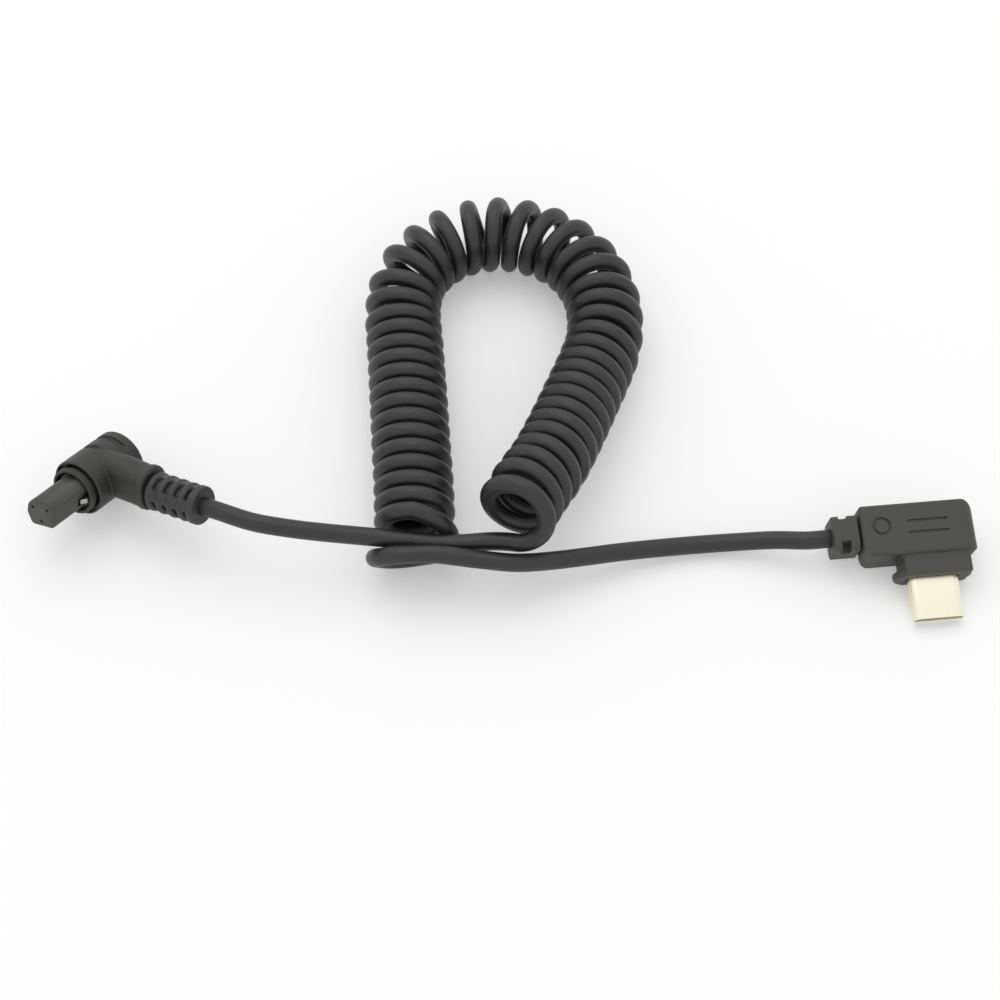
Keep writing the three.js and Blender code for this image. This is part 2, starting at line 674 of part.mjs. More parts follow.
// The coil's axis as close points, with the curls wound up to each of them.
function windAxis() {
  const axis = smooth(coilAxis).getPoints(samplesPerSpan * (coilAxis.length - 1));
  const steps = axis.slice(1).map((p, i) => p.clone().sub(axis[i]));
  const headings = steps.map((d) => new THREE.Vector2(d.x, d.y));
  let [wound, along, lean] = [0, 0, leanAt(axis, 0, 0).lean];
  const marks = [{ along, wound, lean, place: axis[0] }];
  steps.forEach((d, i) => {
    const [before, after] = [headings[Math.max(i - 1, 0)],
      headings[Math.min(i + 1, steps.length - 1)]];
    const bend = Math.abs(Math.asin(before.cross(after) / (before.length() * after.length()))) / 2;
    const next = leanAt(axis, i + 1, wound);
    const squeezed = coilRadius * (bend + Math.abs(next.lean - lean));
    wound += Math.max(0, d.length() * Math.cos(radians(endLean) * next.fresh) - squeezed) / curlPitch;
    along += d.length();
    lean = next.lean;
    marks.push({ along, wound, lean, place: axis[i + 1] });
  });
  return marks;
}

// The mark at a given value of one of its numbers, between its neighbours.
function markAt(marks, key, value) {
  const next = Math.max(1, marks.findIndex((m) => m[key] >= value));
  const last = value > marks[marks.length - 1][key] ? marks.length - 1 : next;
  const [a, b] = [marks[last - 1], marks[last]];
  const share = Math.min(1, (value - a[key]) / (b[key] - a[key] || 1));
  return {
    along: a.along + (b.along - a.along) * share,
    lean: a.lean + (b.lean - a.lean) * share,
    place: a.place.clone().lerp(b.place, share),
  };
}

// The wound part of the cord: each step's centre and its direction away from the coil's axis.
function woundSteps() {
  const marks = windAxis();
  const total = marks[marks.length - 1].wound;
  const curls = Math.floor(total - 0.5) + 0.5;
  const up = new THREE.Vector3(0, 0, 1);
  const list = [];
  for (let j = 0; j <= Math.round(curls * curlSteps); j += 1) {
    const turns = j / curlSteps;
    const { along, lean, place } = markAt(marks, "wound", (turns * total) / curls);
    const ahead = markAt(marks, "along", along + cordRadius / 2).place;
    const behind = markAt(marks, "along", Math.max(0, along - cordRadius / 2)).place;
    const heading = ahead.sub(behind).setZ(0).normalize();
    const upright = up.clone().multiplyScalar(Math.cos(lean))
      .addScaledVector(heading, Math.sin(lean));
    const turn = 2 * Math.PI * turns - Math.PI / 2;
    const outward = heading.clone().cross(up).multiplyScalar(Math.cos(turn))
      .addScaledVector(upright, Math.sin(turn));
    const centre = place.clone().addScaledVector(up, coilRadius + cordRadius)
      .addScaledVector(outward, coilRadius);
    list.push({ centre, outward });
  }
  return list;
}

// A closed tube through a list of centres; a step without its own outward direction takes over
// its neighbour's.
function tubeThrough(steps, radius, sides) {
  const last = steps.length - 1;
  const heading = (i) => steps[Math.min(i + 1, last)].centre.clone()
    .sub(steps[Math.max(i - 1, 0)].centre).normalize();
  const level = (out, i) => {
    const along = heading(i);
    return out.clone().addScaledVector(along, -out.dot(along)).normalize();
  };
  const outs = steps.map((s, i) => s.outward && level(s.outward, i));
  const known = outs.findIndex(Boolean);
  for (let i = known - 1; i >= 0; i -= 1) outs[i] = level(outs[i + 1], i);
  for (let i = known; i <= last; i += 1) outs[i] = outs[i] || level(outs[i - 1], i);
  const positions = [];
  steps.forEach(({ centre }, i) => {
    const across = heading(i).cross(outs[i]);
    for (let k = 0; k < sides; k += 1) {
      const turn = (2 * Math.PI * k) / sides;
      positions.push(...centre.clone().addScaledVector(outs[i], radius * Math.cos(turn))
        .addScaledVector(across, radius * Math.sin(turn)));
    }
  });
  const faces = [];
  for (let i = 0; i < last; i += 1) {
    for (let k = 0; k < sides; k += 1) {
      const [a, b] = [i * sides + k, i * sides + ((k + 1) % sides)];
      faces.push(a, b, b + sides, a, b + sides, a + sides);
    }
  }
  const end = last * sides;
  for (let k = 1; k < sides - 1; k += 1) faces.push(0, k + 1, k, end, end + k, end + k + 1);
  const geometry = new THREE.BufferGeometry();
  geometry.setAttribute("position", new THREE.Float32BufferAttribute(positions, 3));
  geometry.setIndex(faces);
  geometry.computeVertexNormals();
  return geometry;
}

// The least distance between two lines of points, leaving out what is near along the same line.
function leastDistance(lineA, lineB, near) {
  let least = { distance: Infinity };
  const closest = new THREE.Vector3();
  const runs = [0];
  for (let i = 1; i < lineA.length; i += 1) {
    runs.push(runs[i - 1] + lineA[i].distanceTo(lineA[i - 1]));
  }
  const segments = lineB.slice(1).map((p, i) => new THREE.Line3(lineB[i], p));
  lineA.forEach((point, i) => segments.forEach((segment, j) => {
    if (near && Math.min(Math.abs(runs[i] - runs[j]), Math.abs(runs[i] - runs[j + 1])) < near) {
      return;
    }
    const distance = segment.closestPointToPoint(point, true, closest).distanceTo(point);
    if (distance < least.distance) least = { distance, point, other: closest.clone() };
  }));
  return least;
}

function finer(points, parts) {
  return points.flatMap((p, i) => (i === points.length - 1 ? [p] : Array.from({ length: parts },
    (_, k) => p.clone().lerp(points[i + 1], k / parts))));
}

function report(label, { distance, point, other }, radii) {
  const at = (p) => p.toArray().map((v) => v.toFixed(1)).join(" ");
  console.log(`${label}: ${(distance - radii).toFixed(3)} mm at ${at(point)} and ${at(other)}`);
}

const coilSteps = [
  ...firstTurnRoute.map((p) => ({ centre: vector(p) })),
  ...woundSteps(),
  ...lastTurnRoute.map((p) => ({ centre: vector(p) })),
];
const coilLine = coilSteps.map((s) => s.centre);

// A point on a plug's cable line, and its neighbour further out along it.
function cableExit(plug, x, y, outward) {
  return [x, x + outward * cordDiameter].map((v) => plug.localToWorld(vector([v, y, 0])).toArray());
}

// The lead's end at the coil: straight on from the coil's own end, a seam away.
function coilExit(end, next) {
  const away = end.clone().sub(next).normalize();
  return [seamGap, seamGap + cordDiameter].map((v) => end.clone().addScaledVector(away, v)
    .toArray());
}

const last = coilLine.length - 1;
const remoteLine = smooth([
  ...cableExit(remote, reliefEnd + seamGap, 0, 1), ...remoteLeadRoute,
  ...coilExit(coilLine[0], coilLine[1]).reverse(),
]);
const phoneLine = smooth([
  ...coilExit(coilLine[last], coilLine[last - 1]), ...phoneLeadRoute,
  ...cableExit(phone, -blockEnd - seamGap, cableLine, -1).reverse(),
]);

const coilFine = finer(coilLine, 4);
const remoteFine = remoteLine.getSpacedPoints(200);
const phoneFine = phoneLine.getSpacedPoints(200);
const clearOfJoint = (points, joint) => points.filter((p) => p.distanceTo(joint) > cordDiameter * 3);
const coilGap = leastDistance(coilFine, coilFine, cordDiameter * 4);
report("least gap of the coil to itself", coilGap, coilFormRadius * 2);
report("least gap of the camera lead to the coil",
  leastDistance(clearOfJoint(remoteFine, coilLine[0]), coilFine), coilFormRadius + cordRadius);
report("least gap of the phone lead to the coil",
  leastDistance(clearOfJoint(phoneFine, coilLine[last]), coilFine), coilFormRadius + cordRadius);
report("least gap of the leads", leastDistance(remoteFine, phoneFine), cordRadius * 2);
if (coilGap.distance - coilFormRadius * 2 < leastCoilGap) console.log("the coil is too tight");

addPiece(part, "lead_to_camera_plug",
  tubeAlong(remoteLine, cordRadius, leadSides, remoteLeadSteps), finishes.cordVinyl);
addPiece(part, "coiled_cord", tubeThrough(coilSteps, coilFormRadius, coilSides),
  finishes.cordVinyl);
addPiece(part, "lead_to_phone_plug",
  tubeAlong(phoneLine, cordRadius, leadSides, phoneLeadSteps), finishes.cordVinyl);

export default part;
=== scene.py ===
"""Looks for the coiled release cord: one continuous cord and two moulded plugs on a pale floor.

Sizes in the helpers are millimetres in each plug's own frame: X along its cable line, Y from the
front to the back, Z up. They become metres when a piece is placed.
"""
import math

import bmesh
import bpy
import numpy as np
from mathutils import Matrix, Vector


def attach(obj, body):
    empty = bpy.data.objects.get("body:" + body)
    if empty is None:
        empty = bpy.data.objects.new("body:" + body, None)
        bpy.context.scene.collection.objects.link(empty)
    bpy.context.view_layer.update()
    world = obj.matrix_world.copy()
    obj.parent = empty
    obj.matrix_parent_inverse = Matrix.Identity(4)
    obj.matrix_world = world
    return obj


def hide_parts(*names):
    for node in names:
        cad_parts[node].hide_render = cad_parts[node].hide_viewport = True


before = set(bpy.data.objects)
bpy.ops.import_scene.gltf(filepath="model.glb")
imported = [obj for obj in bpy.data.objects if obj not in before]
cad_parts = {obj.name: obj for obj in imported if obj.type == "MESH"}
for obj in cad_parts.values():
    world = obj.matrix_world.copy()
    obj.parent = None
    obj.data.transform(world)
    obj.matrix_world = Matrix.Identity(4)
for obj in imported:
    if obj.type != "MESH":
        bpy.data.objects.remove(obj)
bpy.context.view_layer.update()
scene = bpy.context.scene
scene.view_settings.view_transform = "Standard"
MM = 0.001
BODY = "plugs_and_cord"

# ------------------------------------------------------------------ camera, as the photograph's
camera_data = bpy.data.cameras.new("camera")
camera_data.lens = 72
camera_data.sensor_width = 36
camera_data.clip_start = 0.01
camera = bpy.data.objects.new("camera", camera_data)
camera.location = (-0.0008, -0.17913, 0.27773)
camera.rotation_euler = (math.radians(34), 0, 0)
scene.collection.objects.link(camera)
scene.camera = camera


# ------------------------------------------------------------------ plugs' own frames
def plug_frame(place, raised, rolled, turned):
    """Turned about the upright, then raised about the plug's X, then rolled about its Y."""
    spin = Matrix.Rotation(math.radians(turned), 4, "Z")
    lift = Matrix.Rotation(math.radians(raised), 4, "X")
    roll = Matrix.Rotation(math.radians(rolled), 4, "Y")
    return Matrix.Scale(MM, 4) @ Matrix.Translation(place) @ spin @ lift @ roll


CAMERA_PLUG = plug_frame((-66.9, 9.4, 6.4), -18.4, -13.7, -32.7)
PHONE_PLUG = plug_frame((69.6, -15.71, 1.2), 16, 0, 5.5)
OBJECT = Matrix.Scale(MM, 4)


# ------------------------------------------------------------------ materials
def linear(hex_colour):
    """An sRGB hex colour as the linear colour that the shader takes."""
    parts = [int(hex_colour[i:i + 2], 16) / 255 for i in (1, 3, 5)]
    return [c / 12.92 if c <= 0.04045 else ((c + 0.055) / 1.055) ** 2.4 for c in parts] + [1]


def node(tree, kind, settings=None, **inputs):
    """A new node with its settings and its inputs; an input is a value or another node's socket."""
    made = tree.nodes.new(kind)
    for key, value in (settings or {}).items():
        setattr(made, key, value)
    for key, value in inputs.items():
        socket = made.inputs[int(key[1:])] if key[0] == "i" and key[1:].isdigit() \
            else made.inputs[key.replace("_", " ")]
        if isinstance(value, bpy.types.NodeSocket):
            tree.links.new(value, socket)
        else:
            socket.default_value = value
    return made


CLOUD_MM = 8  # the slow change of tone over a moulding, as wide as its walls cool unevenly
STREAK_MM = (0.35, 0.35, 14)  # drawing lines along a jacket, drawn five times as wide as real ones


def surface(name, colour, roughness, metallic=0.0, ior=1.5, grain_mm=0.6, depth_mm=0.004,
            tone=0.08, worn=None, wear=0.0, brushed=(1, 1, 1), gloss_change=0.05,
            along_cord=False):
    """A moulded, drawn or plated finish: cloudy tone, uneven gloss, grain and rubbed edges."""
    material = bpy.data.materials.new(name)
    material.use_nodes = True
    tree = material.node_tree
    tree.nodes.clear()
    where = node(tree, "ShaderNodeTexCoord").outputs["Object"]
    stretched = node(tree, "ShaderNodeMapping", Vector=where, Scale=brushed).outputs[0]
    cloud = node(tree, "ShaderNodeTexNoise", Vector=where, Scale=1 / (CLOUD_MM * MM), Detail=4.0,
                 Roughness=0.6).outputs["Fac"]
    fine = node(tree, "ShaderNodeTexNoise", Vector=stretched, Scale=1 / (grain_mm * MM),
                Detail=3.0, Roughness=0.7).outputs["Fac"]
    if along_cord:
        jacket = node(tree, "ShaderNodeAttribute", {"attribute_name": "jacket"}).outputs["Vector"]
        drawn = node(tree, "ShaderNodeMapping", Vector=jacket,
                     Scale=[1 / size for size in STREAK_MM]).outputs[0]
        streak = node(tree, "ShaderNodeTexNoise", Vector=drawn, Scale=1.0, Detail=2.0)
        fine = node(tree, "ShaderNodeMath", {"operation": "ADD"}, i0=fine,
                    i1=streak.outputs["Fac"]).outputs[0]
    base = linear(colour)
    ramp = node(tree, "ShaderNodeValToRGB", Fac=cloud)
    ramp.color_ramp.elements[0].position = 0.3
    ramp.color_ramp.elements[0].color = [c * (1 - tone) for c in base[:3]] + [1]
    ramp.color_ramp.elements[1].position = 0.7
    ramp.color_ramp.elements[1].color = [min(1, c * (1 + tone)) for c in base[:3]] + [1]
    paint = ramp.outputs["Color"]
    if worn:
        edge = node(tree, "ShaderNodeNewGeometry").outputs["Pointiness"]
        rub = node(tree, "ShaderNodeMapRange", Value=edge, From_Min=0.52, From_Max=0.6,
                   To_Min=0.0, To_Max=wear).outputs[0]
        patchy = node(tree, "ShaderNodeMath", {"operation": "MULTIPLY"}, i0=rub, i1=cloud)
        paint = node(tree, "ShaderNodeMix", {"data_type": "RGBA"}, i0=patchy.outputs[0],
                     i6=paint, i7=linear(worn)).outputs[2]
    gloss = node(tree, "ShaderNodeMapRange", Value=cloud, From_Min=0.3, From_Max=0.7,
                 To_Min=roughness - gloss_change, To_Max=roughness + gloss_change).outputs[0]
    bump = node(tree, "ShaderNodeBump", Strength=1.0, Distance=depth_mm * MM, Height=fine)
    shader = node(tree, "ShaderNodeBsdfPrincipled", Base_Color=paint, Roughness=gloss,
                  Metallic=metallic, Normal=bump.outputs[0])
    if not metallic:
        shader.inputs["IOR"].default_value = ior
    node(tree, "ShaderNodeOutputMaterial", Surface=shader.outputs[0])
    return material


# Flexible PVC jacket, extruded: near black, satin, with faint drawing lines along the cord.
CORD_VINYL = surface("cord jacket, extruded PVC", "#211f1d", 0.42, ior=1.53, grain_mm=0.5,
                     depth_mm=0.004, worn="#4c4b49", wear=0.2, along_cord=True)
# Soft PVC overmoulding from a spark-eroded tool: olive charcoal, matt grain, paler rubbed edges.
# The real grain is near 0.05 mm; it is drawn at 0.5 mm, so that it shows.
CAMERA_VINYL = surface("camera plug overmoulding, soft PVC", "#282922", 0.52, ior=1.53,
                       grain_mm=0.5, depth_mm=0.01, worn="#4c4d45", wear=0.15)
# The same PVC at the bending relief, a shade bluer and smoother, as it left another tool.
RELIEF_VINYL = surface("bending relief, soft PVC", "#2c2d2c", 0.5, ior=1.53, grain_mm=0.6,
                       depth_mm=0.004, worn="#5c5d5c", wear=0.6)
# Nylon insulator, injection moulded: olive grey with a tighter, glossier skin than the PVC.
NOSE_PLASTIC = surface("nose insulator, moulded nylon", "#353630", 0.46, ior=1.53, grain_mm=0.4,
                       depth_mm=0.003, worn="#72736a", wear=0.6)
# Soft PVC overmoulding, warmer than the camera plug's: brown charcoal, matt grain.
PHONE_VINYL = surface("phone plug overmoulding, soft PVC", "#3d3a34", 0.55, ior=1.53,
                      grain_mm=0.5, depth_mm=0.007, worn="#7a766f", wear=0.7)
# Liquid crystal polymer, moulded: black, thin walled and slightly glossy, as connectors' insides.
INNER_PLASTIC = surface("contact carrier, moulded LCP", "#1c1c1c", 0.42, ior=1.6, grain_mm=0.3,
                        depth_mm=0.002)
# Deep drawn steel with bright nickel: warm silver, faint drawing lines from mouth to flange.
NICKEL = surface("shell, deep drawn steel with bright nickel", "#f1ebd6", 0.24, 1.0,
                 grain_mm=0.3, depth_mm=0.0006, tone=0.02, brushed=(1, 0.12, 1),
                 gloss_change=0.04)
# Stamped spring steel: cool grey, fine rolling lines.
SPRING = surface("stamped spring steel", "#a3a29b", 0.36, 1.0, grain_mm=0.25, depth_mm=0.0008,
                 tone=0.05, brushed=(1, 0.15, 1))
# Flash gold over phosphor bronze, turned or stamped: pale yellow, slightly dulled.
GOLD = surface("contacts, gold flashed bronze", "#a88545", 0.34, 1.0, grain_mm=0.25,
               depth_mm=0.0005, tone=0.06)
# Glass epoxy board under green solder mask: smooth coat over a woven ground.
BOARD = surface("circuit board, glass epoxy with solder mask", "#1f5c3a", 0.3, ior=1.55,
                grain_mm=0.4, depth_mm=0.003, tone=0.12)
# Thick film resistor: black glass over alumina, fired.
RESISTOR = surface("chip resistor, fired black glass", "#18181a", 0.33, ior=1.55, grain_mm=0.2,
                   depth_mm=0.002)
# Hook-up wire jackets, extruded PVC, one colour for each core.
WIRES = [surface("wire jacket, extruded PVC, " + word, colour, 0.42, ior=1.53, grain_mm=0.3,
                 depth_mm=0.002)
         for word, colour in (("red", "#a8281f"), ("white", "#d9d6cc"), ("yellow", "#c9a82c"))]


# ------------------------------------------------------------------ mesh helpers
def mesh_object(name, vertices, faces):
    """A mesh object from points and faces, its doubles merged and its faces turned outwards."""
    mesh = bpy.data.meshes.new(name)
    mesh.from_pydata([tuple(v) for v in vertices], [], faces)
    built = bmesh.new()
    built.from_mesh(mesh)
    bmesh.ops.remove_doubles(built, verts=built.verts, dist=1e-5)
    bmesh.ops.recalc_face_normals(built, faces=built.faces)
    built.to_mesh(mesh)
    built.free()
    made = bpy.data.objects.new(name, mesh)
    scene.collection.objects.link(made)
    return made


def loft(name, loops, closed=False):
    """A skin through equal loops of points, capped at its ends, or run round to the start."""
    count = len(loops[0])
    vertices = [p for loop in loops for p in loop]
    faces = []
    for i in range(len(loops) if closed else len(loops) - 1):
        a, b = i * count, ((i + 1) % len(loops)) * count
        for k in range(count):
            n = (k + 1) % count
            faces.append((a + k, a + n, b + n, b + k))
    if not closed:
        faces += [tuple(range(count))[::-1], tuple(range((len(loops) - 1) * count,
                                                         len(loops) * count))]
    return mesh_object(name, vertices, faces)


def arc(middle, radius, start, end, count):
    """Points of an arc, its angles in degrees."""
    turns = [math.radians(start + (end - start) * i / count) for i in range(count + 1)]
    return [(middle[0] + radius * math.cos(t), middle[1] + radius * math.sin(t)) for t in turns]


def rectangle(left, right, low, high, radii, count=6):
    """A rectangle's outline with its own radius at each corner, from low left round."""
    if not isinstance(radii, (list, tuple)):
        radii = [radii] * 4
    spots = [(left, low, 1, 1, 180), (right, low, -1, 1, 270), (right, high, -1, -1, 0),
             (left, high, 1, -1, 90)]
    points = []
    for (x, y, sx, sy, start), r in zip(spots, radii):
        r = max(r, 0.02)
        points += arc((x + sx * r, y + sy * r), r, start, start + 90, count)
    return points


def rounded(corners, radius, count=5):
    """A polygon whose corners are rounded by a curve that starts a radius before each."""
    points = []
    for i, corner in enumerate(corners):
        p = np.array(corner, float)
        ends = []
        for other in (corners[i - 1], corners[(i + 1) % len(corners)]):
            away = np.array(other, float) - p
            reach = np.linalg.norm(away)
            ends.append(p + away / reach * min(radius, reach / 2.2))
        for t in np.linspace(0, 1, count + 1):
            points.append(tuple((1 - t) ** 2 * ends[0] + 2 * t * (1 - t) * p + t * t * ends[1]))
    return points


def stadium(width, height, count=14):
    """An outline with two straight sides and two half round ends."""
    r, reach = height / 2, (width - height) / 2
    return arc((reach, 0), r, -90, 90, count) + arc((-reach, 0), r, 90, 270, count)


def inset(outline, by):
    """The outline moved inwards, each point along the middle of its two sides' normals."""
    p = np.array(outline, float)
    ahead, behind = np.roll(p, -1, axis=0) - p, p - np.roll(p, 1, axis=0)
    turning = np.sign((p[:, 0] * np.roll(p[:, 1], -1) - np.roll(p[:, 0], -1) * p[:, 1]).sum())
    units = [v / np.maximum(np.linalg.norm(v, axis=1), 1e-9)[:, None] for v in (ahead, behind)]
    along = units[0] + units[1]
    along /= np.linalg.norm(along, axis=1)[:, None]
    return [(x - by * turning * v, y + by * turning * u) for (x, y), (u, v) in zip(p, along)]


def along_x(outline, x):
    return [(x, u, v) for u, v in outline]


def along_y(outline, y):
    return [(u, y, v) for u, v in outline]


def along_z(outline, z):
    return [(u, v, z) for u, v in outline]


def prism(name, outline, lay, start, end, edges=(0, 0), count=4):
    """An outline carried from start to end, with its two end faces' edges rounded."""
    places = [(e * (1 - math.sin(t)), start + e * (1 - math.cos(t))) for e in edges[:1] if e
              for t in np.linspace(0, math.pi / 2, count + 1)] or [(0, start)]
    places += [(e * (1 - math.cos(t)), end - e * (1 - math.sin(t))) for e in edges[1:] if e
               for t in np.linspace(0, math.pi / 2, count + 1)] or [(0, end)]
    return loft(name, [lay(inset(outline, by) if by else outline, at) for by, at in places])


def turned(name, profile, sides=64, axis="Y", closed=False):
    """A turned piece; its profile is (radius, place along the axis)."""
    loops = []
    for radius, place in profile:
        ring = arc((0, 0), max(radius, 1e-4), 0, 360 - 360 / sides, sides - 1)
        loops.append(along_y(ring, place) if axis == "Y" else along_x(ring, place))
    return loft(name, loops, closed)


def rounded_end(radius, edge, place, outwards, count=5):
    """Profile points of a rim of a given radius, rounded by edge, that ends at place."""
    points = []
    for i in range(count + 1):
        t = math.radians(90 * i / count)
        points.append((radius - edge + edge * math.cos(t),
                       place - outwards * edge + outwards * edge * math.sin(t)))
    return points


def shift(obj, move):
    """Moves an object's mesh and gives the object back."""
    obj.data.transform(Matrix.Translation(move))
    return obj


def settle(obj):
    """Turns an object's modifiers into its mesh."""
    graph = bpy.context.evaluated_depsgraph_get()
    mesh = bpy.data.meshes.new_from_object(obj.evaluated_get(graph))
    obj.modifiers.clear()
    old = obj.data
    obj.data = mesh
    bpy.data.meshes.remove(old)
    return obj


def carve(base, pieces, how="DIFFERENCE"):
    """Joins the pieces to the base or cuts them from it; the pieces are used up."""
    for piece in pieces:
        step = base.modifiers.new("carve", "BOOLEAN")
        step.operation, step.solver, step.object = how, "MANIFOLD", piece
        settle(base)
        bpy.data.objects.remove(piece)
    return base


def moulded(obj, voxel, passes):
    """Gives the skin the small soft fillets of a moulding."""
    skin = obj.modifiers.new("skin", "REMESH")
    skin.mode, skin.voxel_size = "VOXEL", voxel
    soften = obj.modifiers.new("soften", "SMOOTH")
    soften.factor, soften.iterations = 0.5, passes
    return settle(obj)


def box(name, low, high):
    """A plain block between two corners, used as a cutter or joined to a moulding."""
    outline = rectangle(low[0], high[0], low[1], high[1], 0.02, 1)
    return loft(name, [[(x, y, z) for x, y in outline] for z in (low[2], high[2])])


def finish_piece(obj, matrix, material, replaced, body=BODY, sharp=None):
    """Places a piece, gives it its finish, and lets it stand for its CAD nodes."""
    obj.data.transform(matrix)
    obj.data.materials.clear()
    obj.data.materials.append(material)
    obj.data.polygons.foreach_set("use_smooth", [True] * len(obj.data.polygons))
    if sharp:
        obj.data.set_sharp_from_angle(angle=math.radians(sharp))
    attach(obj, body)
    if replaced:
        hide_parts(*replaced)
    return obj


# ------------------------------------------------------------------ cord
CORD_RADIUS = 1.5
COIL_RADIUS = 5.15
CURL_PITCH = 3.05
END_LEAN, END_LEAN_CURLS = math.radians(6), 3
LEG_LEAN = math.radians(6)
CURL_STEPS = 32
COIL_AXIS = [
    (1.4, -4.9, 7.7), (2.4, -2.1, 7.2), (3.2, -0.3, 6.9), (4.5, 2.4, 6.3), (5.9, 5.1, 5.6),
    (7.4, 8.3, 4.8), (10.1, 15.3, 3.4), (12.7, 22.5, 2.3), (15.3, 29.8, 1.3), (17, 35.7, 0.7),
    (17.4, 42.3, 0.3), (16.1, 49.2, 0.1), (12.3, 55.4, 0), (6.3, 59.6, 0), (-0.6, 61.2, 0),
    (-7.4, 60, 0), (-13, 56.2, 0), (-16.6, 50.7, 0), (-17.7, 44.3, 0), (-17.1, 35.2, 0),
    (-16.3, 24.7, 0), (-15.6, 14.7, 0), (-15, 6.7, 0), (-14.6, -1.2, 0)]
CAMERA_LEAD = [
    (-40.3, -4.2, 12.2), (-34.6, -4.9, 11.4), (-28.9, -5, 10.3), (-23.1, -5, 9.3),
    (-16.8, -5.35, 8.8), (-10.5, -5.9, 8.5), (-6.3, -5.9, 8.55), (-2.4, -5.9, 9.1)]
LAST_TURN = [
    (-10.4, -2.9, 10), (-8.8, -3.4, 6.5), (-10.2, -3.9, 3), (-14, -4, 1.5),
    (-18.4, -4.8, 1.9), (-20.9, -6.3, 4.7), (-19.9, -8.2, 8), (-17, -8.9, 9.7),
    (-14.4, -8.9, 10), (-11.4, -8.9, 10.05)]
PHONE_LEAD = [
    (-4, -9.4, 9.2), (1.8, -9.7, 8.7), (7.5, -8.1, 6.8), (13.4, -6.2, 5.1), (18.7, -4.5, 3.7),
    (25.3, -3, 2.6), (32, -2, 2.1), (38.5, -1.8, 2.6), (44, -2.3, 3.9)]
# Where the cord leaves each plug, along X, clear of the solid relief; and the phone plug's line, Y.
CAMERA_EXIT, PHONE_EXIT, CABLE_LINE = 21.95, -16.2, 14.9
EXIT_RUN = 3  # how far the cord runs straight, on each side of its exit


def spline(points, samples):
    """A centripetal curve through the points; samples is a count per span, or a longest step."""
    p = np.array(points, float)
    p = np.vstack([2 * p[0] - p[1], p, 2 * p[-1] - p[-2]])
    line = []
    for i in range(1, len(p) - 2):
        a, b, c, d = p[i - 1:i + 3]
        t = np.cumsum([0] + [np.linalg.norm(v) ** 0.5 for v in (b - a, c - b, d - c)])
        count = samples if isinstance(samples, int) else \
            max(1, math.ceil(np.linalg.norm(c - b) / samples))
        for s in np.linspace(t[1], t[2], count, endpoint=False):
            ab, bc, cd = (((t[k + 1] - s) * u + (s - t[k]) * v) / (t[k + 1] - t[k])
                          for k, (u, v) in enumerate(((a, b), (b, c), (c, d))))
            low = (t[2] - s) / (t[2] - t[0]) * ab + (s - t[0]) / (t[2] - t[0]) * bc
            high = (t[3] - s) / (t[3] - t[1]) * bc + (s - t[1]) / (t[3] - t[1]) * cd
            line.append((t[2] - s) / (t[2] - t[1]) * low + (s - t[1]) / (t[2] - t[1]) * high)
    return np.array(line + [p[-2]])


def lean_at(axis, i, fresh):
    """How far ahead a curl leans: square to a falling axis, more at the start and on leg 2."""
    before, after = axis[max(i - 1, 0)], axis[min(i + 1, len(axis) - 1)]
    fall = math.atan2(before[2] - after[2], math.hypot(*(after - before)[:2]))
    return fall + END_LEAN * fresh + LEG_LEAN * min(1, max(0, 3 * i / len(axis) - 1.5))


def wind(axis):
    """At each point of the axis: how far it has run, the curls wound, and their lean."""
    steps = np.diff(axis, axis=0)
    heading = np.unwrap(np.arctan2(steps[:, 1], steps[:, 0]))
    wound, along, lean = [0.0], [0.0], [lean_at(axis, 0, 1)]
    for i, step in enumerate(steps):
        bend = abs(heading[min(i + 1, len(steps) - 1)] - heading[max(i - 1, 0)]) / 2
        fresh = max(0, 1 - wound[-1] / END_LEAN_CURLS)
        length = np.linalg.norm(step)
        lean.append(lean_at(axis, i + 1, fresh))
        turned_in = COIL_RADIUS * (bend + abs(lean[-1] - lean[-2]))
        spare = length * math.cos(END_LEAN * fresh) - turned_in
        wound.append(wound[-1] + max(0, spare) / CURL_PITCH)
        along.append(along[-1] + length)
    return np.array(along), np.array(wound), np.array(lean)


def coil_points():
    """The wound part: curls that touch along the inside of a bend."""
    axis = spline(COIL_AXIS, 60)
    along, wound, lean = wind(axis)
    curls = math.floor(wound[-1] - 0.5) + 0.5
    at = lambda s: np.array([np.interp(s, along, axis[:, k]) for k in range(3)])
    points = []
    for j in range(round(curls * CURL_STEPS) + 1):
        turns = j / CURL_STEPS
        s = np.interp(turns * wound[-1] / curls, wound, along)
        ahead = (at(s + CORD_RADIUS / 2) - at(max(0, s - CORD_RADIUS / 2))) * (1, 1, 0)
        ahead /= np.linalg.norm(ahead)
        side, tip = np.cross(ahead, (0, 0, 1)), np.interp(s, along, lean)
        upright = np.array([0, 0, math.cos(tip)]) + ahead * math.sin(tip)
        turn = 2 * math.pi * turns - math.pi / 2
        points.append(at(s) + np.array([0, 0, COIL_RADIUS + CORD_RADIUS])
                      + COIL_RADIUS * (math.cos(turn) * side + math.sin(turn) * upright))
    return points


